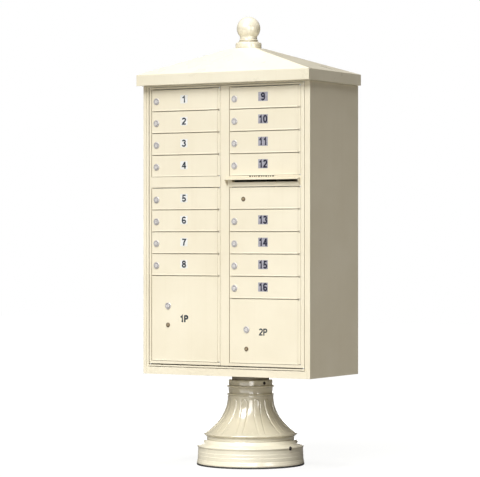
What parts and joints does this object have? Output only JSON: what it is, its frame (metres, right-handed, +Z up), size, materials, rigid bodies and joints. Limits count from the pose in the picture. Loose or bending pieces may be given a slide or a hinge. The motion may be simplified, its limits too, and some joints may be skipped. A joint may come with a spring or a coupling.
{
  "type": "cluster mailbox unit",
  "caption": "Free-standing bank of locking mailbox doors and parcel lockers in two master doors, with a pyramid cap, ball finial and bell pedestal.",
  "frame": {"origin": "on the pedestal axis at the ground, the centre of the anchor hole pattern", "axes": "+X right as seen from the front, +Y to the back, +Z up; the doors face -Y"},
  "size_m": [0.8008, 0.4575, 1.8219],
  "materials": {
    "cream_powder": "satin powder coat",
    "cream_cast": "semi-gloss powder coat",
    "galvanised": "galvanised sheet",
    "stainless": "brushed",
    "lock_chrome": "polished",
    "lock_brass": "aged",
    "gasket_rubber": "matt"
  },
  "bodies": {
    "cabinet": {"cabinet_wrapper": "cream_powder", "cabinet_floor": "cream_powder", "front_frame": "cream_powder", "compartment_shelves": "galvanised", "cap_roof": "cream_cast", "finial": "cream_cast", "pedestal_post": "cream_powder", "pedestal_cover": "cream_cast", "cover_base_ring": "cream_cast", "base_gasket": "gasket_rubber", "fasteners": "galvanised", "master_hinge_rods": "stainless"},
    "left_master": {"master_door_left": "cream_powder", "door_hinge_rod_left": "stainless"},
    "right_master": {"master_door_right": "cream_powder", "door_hinge_rod_right": "stainless", "outgoing_slot_hood": "cream_powder"},
    "latch_handle": {"latch_handle": "galvanised"},
    "upper_latch_rod": {"latch_rod_upper": "galvanised"},
    "lower_latch_rod": {"latch_rod_lower": "galvanised"},
    "outgoing_door": {"outgoing_mail_door": "cream_powder"},
    "arrow_lock": {"arrow_lock": "lock_brass"},
    "parcel_door_1": {"parcel_door_1": "cream_powder"},
    "parcel_lock_1": {"parcel_lock_1": "lock_chrome"},
    "control_lock_1": {"control_lock_1": "lock_brass"},
    "parcel_door_2": {"parcel_door_2": "cream_powder"},
    "parcel_lock_2": {"parcel_lock_2": "lock_chrome"},
    "control_lock_2": {"control_lock_2": "lock_brass"},
    "tenant_door_01": {"tenant_door_01": "cream_powder"},
    "tenant_lock_01": {"tenant_lock_01": "lock_chrome"},
    "tenant_door_02": {"tenant_door_02": "cream_powder"},
    "tenant_lock_02": {"tenant_lock_02": "lock_chrome"},
    "tenant_door_03": {"tenant_door_03": "cream_powder"},
    "tenant_lock_03": {"tenant_lock_03": "lock_chrome"},
    "tenant_door_04": {"tenant_door_04": "cream_powder"},
    "tenant_lock_04": {"tenant_lock_04": "lock_chrome"},
    "tenant_door_05": {"tenant_door_05": "cream_powder"},
    "tenant_lock_05": {"tenant_lock_05": "lock_chrome"},
    "tenant_door_06": {"tenant_door_06": "cream_powder"},
    "tenant_lock_06": {"tenant_lock_06": "lock_chrome"},
    "tenant_door_07": {"tenant_door_07": "cream_powder"},
    "tenant_lock_07": {"tenant_lock_07": "lock_chrome"},
    "tenant_door_08": {"tenant_door_08": "cream_powder"},
    "tenant_lock_08": {"tenant_lock_08": "lock_chrome"},
    "tenant_door_09": {"tenant_door_09": "cream_powder"},
    "tenant_lock_09": {"tenant_lock_09": "lock_chrome"},
    "tenant_door_10": {"tenant_door_10": "cream_powder"},
    "tenant_lock_10": {"tenant_lock_10": "lock_chrome"},
    "tenant_door_11": {"tenant_door_11": "cream_powder"},
    "tenant_lock_11": {"tenant_lock_11": "lock_chrome"},
    "tenant_door_12": {"tenant_door_12": "cream_powder"},
    "tenant_lock_12": {"tenant_lock_12": "lock_chrome"},
    "tenant_door_13": {"tenant_door_13": "cream_powder"},
    "tenant_lock_13": {"tenant_lock_13": "lock_chrome"},
    "tenant_door_14": {"tenant_door_14": "cream_powder"},
    "tenant_lock_14": {"tenant_lock_14": "lock_chrome"},
    "tenant_door_15": {"tenant_door_15": "cream_powder"},
    "tenant_lock_15": {"tenant_lock_15": "lock_chrome"},
    "tenant_door_16": {"tenant_door_16": "cream_powder"},
    "tenant_lock_16": {"tenant_lock_16": "lock_chrome"}
  },
  "joints": [
    {"name": "left_master_swing", "type": "hinge", "parent": "cabinet", "child": "left_master", "pos_m": [-0.355, -0.199, 0.95465], "axis": [0, 0, 1], "range_deg": [-90, 0]},
    {"name": "right_master_swing", "type": "hinge", "parent": "cabinet", "child": "right_master", "pos_m": [0.355, -0.199, 0.95465], "axis": [0, 0, 1], "range_deg": [0, 90]},
    {"name": "latch_handle_turn", "type": "hinge", "parent": "right_master", "child": "latch_handle", "pos_m": [0.002, -0.182, 1.08005], "axis": [0, -1, 0], "range_deg": [0, 90]},
    {"name": "upper_latch_slide", "type": "slide", "parent": "right_master", "child": "upper_latch_rod", "axis": [0, 0, 1], "range_m": [0, 0.01202]},
    {"name": "lower_latch_slide", "type": "slide", "parent": "right_master", "child": "lower_latch_rod", "axis": [0, 0, -1], "range_m": [0, 0.01202]},
    {"name": "outgoing_door_swing", "type": "hinge", "parent": "right_master", "child": "outgoing_door", "pos_m": [0.3414, -0.2019, 1.08005], "axis": [0, 0, 1], "range_deg": [0, 90]},
    {"name": "arrow_lock_turn", "type": "hinge", "parent": "outgoing_door", "child": "arrow_lock", "pos_m": [0.0852, -0.205, 1.07655], "axis": [0, -1, 0], "range_deg": [0, 90]},
    {"name": "parcel_door_1_swing", "type": "hinge", "parent": "left_master", "child": "parcel_door_1", "pos_m": [-0.0266, -0.2019, 0.59545], "axis": [0, 0, 1], "range_deg": [0, 90]},
    {"name": "parcel_lock_1_turn", "type": "hinge", "parent": "parcel_door_1", "child": "parcel_lock_1", "pos_m": [-0.2686, -0.205, 0.6459], "axis": [0, -1, 0], "range_deg": [0, 90]},
    {"name": "control_lock_1_turn", "type": "hinge", "parent": "parcel_door_1", "child": "control_lock_1", "pos_m": [-0.2686, -0.205, 0.5689], "axis": [0, -1, 0], "range_deg": [0, 90]},
    {"name": "parcel_door_2_swing", "type": "hinge", "parent": "right_master", "child": "parcel_door_2", "pos_m": [0.3414, -0.2019, 0.551], "axis": [0, 0, 1], "range_deg": [0, 90]},
    {"name": "parcel_lock_2_turn", "type": "hinge", "parent": "parcel_door_2", "child": "parcel_lock_2", "pos_m": [0.0994, -0.205, 0.557], "axis": [0, -1, 0], "range_deg": [0, 90]},
    {"name": "control_lock_2_turn", "type": "hinge", "parent": "parcel_door_2", "child": "control_lock_2", "pos_m": [0.0994, -0.205, 0.48], "axis": [0, -1, 0], "range_deg": [0, 90]},
    {"name": "tenant_door_01_swing", "type": "hinge", "parent": "left_master", "child": "tenant_door_01", "pos_m": [-0.0266, -0.2019, 1.48005], "axis": [0, 0, 1], "range_deg": [0, 90]},
    {"name": "tenant_lock_01_turn", "type": "hinge", "parent": "tenant_door_01", "child": "tenant_lock_01", "pos_m": [-0.3241, -0.205, 1.47655], "axis": [0, -1, 0], "range_deg": [0, 90]},
    {"name": "tenant_door_02_swing", "type": "hinge", "parent": "left_master", "child": "tenant_door_02", "pos_m": [-0.0266, -0.2019, 1.39115], "axis": [0, 0, 1], "range_deg": [0, 90]},
    {"name": "tenant_lock_02_turn", "type": "hinge", "parent": "tenant_door_02", "child": "tenant_lock_02", "pos_m": [-0.3241, -0.205, 1.38765], "axis": [0, -1, 0], "range_deg": [0, 90]},
    {"name": "tenant_door_03_swing", "type": "hinge", "parent": "left_master", "child": "tenant_door_03", "pos_m": [-0.0266, -0.2019, 1.30225], "axis": [0, 0, 1], "range_deg": [0, 90]},
    {"name": "tenant_lock_03_turn", "type": "hinge", "parent": "tenant_door_03", "child": "tenant_lock_03", "pos_m": [-0.3241, -0.205, 1.29875], "axis": [0, -1, 0], "range_deg": [0, 90]},
    {"name": "tenant_door_04_swing", "type": "hinge", "parent": "left_master", "child": "tenant_door_04", "pos_m": [-0.0266, -0.2019, 1.21335], "axis": [0, 0, 1], "range_deg": [0, 90]},
    {"name": "tenant_lock_04_turn", "type": "hinge", "parent": "tenant_door_04", "child": "tenant_lock_04", "pos_m": [-0.3241, -0.205, 1.20985], "axis": [0, -1, 0], "range_deg": [0, 90]},
    {"name": "tenant_door_05_swing", "type": "hinge", "parent": "left_master", "child": "tenant_door_05", "pos_m": [-0.0266, -0.2019, 1.08005], "axis": [0, 0, 1], "range_deg": [0, 90]},
    {"name": "tenant_lock_05_turn", "type": "hinge", "parent": "tenant_door_05", "child": "tenant_lock_05", "pos_m": [-0.3241, -0.205, 1.07655], "axis": [0, -1, 0], "range_deg": [0, 90]},
    {"name": "tenant_door_06_swing", "type": "hinge", "parent": "left_master", "child": "tenant_door_06", "pos_m": [-0.0266, -0.2019, 0.99115], "axis": [0, 0, 1], "range_deg": [0, 90]},
    {"name": "tenant_lock_06_turn", "type": "hinge", "parent": "tenant_door_06", "child": "tenant_lock_06", "pos_m": [-0.3241, -0.205, 0.98765], "axis": [0, -1, 0], "range_deg": [0, 90]},
    {"name": "tenant_door_07_swing", "type": "hinge", "parent": "left_master", "child": "tenant_door_07", "pos_m": [-0.0266, -0.2019, 0.90225], "axis": [0, 0, 1], "range_deg": [0, 90]},
    {"name": "tenant_lock_07_turn", "type": "hinge", "parent": "tenant_door_07", "child": "tenant_lock_07", "pos_m": [-0.3241, -0.205, 0.89875], "axis": [0, -1, 0], "range_deg": [0, 90]},
    {"name": "tenant_door_08_swing", "type": "hinge", "parent": "left_master", "child": "tenant_door_08", "pos_m": [-0.0266, -0.2019, 0.81335], "axis": [0, 0, 1], "range_deg": [0, 90]},
    {"name": "tenant_lock_08_turn", "type": "hinge", "parent": "tenant_door_08", "child": "tenant_lock_08", "pos_m": [-0.3241, -0.205, 0.80985], "axis": [0, -1, 0], "range_deg": [0, 90]},
    {"name": "tenant_door_09_swing", "type": "hinge", "parent": "right_master", "child": "tenant_door_09", "pos_m": [0.3414, -0.2019, 1.48005], "axis": [0, 0, 1], "range_deg": [0, 90]},
    {"name": "tenant_lock_09_turn", "type": "hinge", "parent": "tenant_door_09", "child": "tenant_lock_09", "pos_m": [0.0439, -0.205, 1.47655], "axis": [0, -1, 0], "range_deg": [0, 90]},
    {"name": "tenant_door_10_swing", "type": "hinge", "parent": "right_master", "child": "tenant_door_10", "pos_m": [0.3414, -0.2019, 1.39115], "axis": [0, 0, 1], "range_deg": [0, 90]},
    {"name": "tenant_lock_10_turn", "type": "hinge", "parent": "tenant_door_10", "child": "tenant_lock_10", "pos_m": [0.0439, -0.205, 1.38765], "axis": [0, -1, 0], "range_deg": [0, 90]},
    {"name": "tenant_door_11_swing", "type": "hinge", "parent": "right_master", "child": "tenant_door_11", "pos_m": [0.3414, -0.2019, 1.30225], "axis": [0, 0, 1], "range_deg": [0, 90]},
    {"name": "tenant_lock_11_turn", "type": "hinge", "parent": "tenant_door_11", "child": "tenant_lock_11", "pos_m": [0.0439, -0.205, 1.29875], "axis": [0, -1, 0], "range_deg": [0, 90]},
    {"name": "tenant_door_12_swing", "type": "hinge", "parent": "right_master", "child": "tenant_door_12", "pos_m": [0.3414, -0.2019, 1.21335], "axis": [0, 0, 1], "range_deg": [0, 90]},
    {"name": "tenant_lock_12_turn", "type": "hinge", "parent": "tenant_door_12", "child": "tenant_lock_12", "pos_m": [0.0439, -0.205, 1.20985], "axis": [0, -1, 0], "range_deg": [0, 90]},
    {"name": "tenant_door_13_swing", "type": "hinge", "parent": "right_master", "child": "tenant_door_13", "pos_m": [0.3414, -0.2019, 0.99115], "axis": [0, 0, 1], "range_deg": [0, 90]},
    {"name": "tenant_lock_13_turn", "type": "hinge", "parent": "tenant_door_13", "child": "tenant_lock_13", "pos_m": [0.0439, -0.205, 0.98765], "axis": [0, -1, 0], "range_deg": [0, 90]},
    {"name": "tenant_door_14_swing", "type": "hinge", "parent": "right_master", "child": "tenant_door_14", "pos_m": [0.3414, -0.2019, 0.90225], "axis": [0, 0, 1], "range_deg": [0, 90]},
    {"name": "tenant_lock_14_turn", "type": "hinge", "parent": "tenant_door_14", "child": "tenant_lock_14", "pos_m": [0.0439, -0.205, 0.89875], "axis": [0, -1, 0], "range_deg": [0, 90]},
    {"name": "tenant_door_15_swing", "type": "hinge", "parent": "right_master", "child": "tenant_door_15", "pos_m": [0.3414, -0.2019, 0.81335], "axis": [0, 0, 1], "range_deg": [0, 90]},
    {"name": "tenant_lock_15_turn", "type": "hinge", "parent": "tenant_door_15", "child": "tenant_lock_15", "pos_m": [0.0439, -0.205, 0.80985], "axis": [0, -1, 0], "range_deg": [0, 90]},
    {"name": "tenant_door_16_swing", "type": "hinge", "parent": "right_master", "child": "tenant_door_16", "pos_m": [0.3414, -0.2019, 0.72445], "axis": [0, 0, 1], "range_deg": [0, 90]},
    {"name": "tenant_lock_16_turn", "type": "hinge", "parent": "tenant_door_16", "child": "tenant_lock_16", "pos_m": [0.0439, -0.205, 0.72095], "axis": [0, -1, 0], "range_deg": [0, 90]}
  ],
  "couplings": [
    {"joint": "latch_handle_turn", "follows": "lower_latch_slide", "rad_per_m": 130.67},
    {"joint": "upper_latch_slide", "follows": "lower_latch_slide", "ratio": 1}
  ]
}
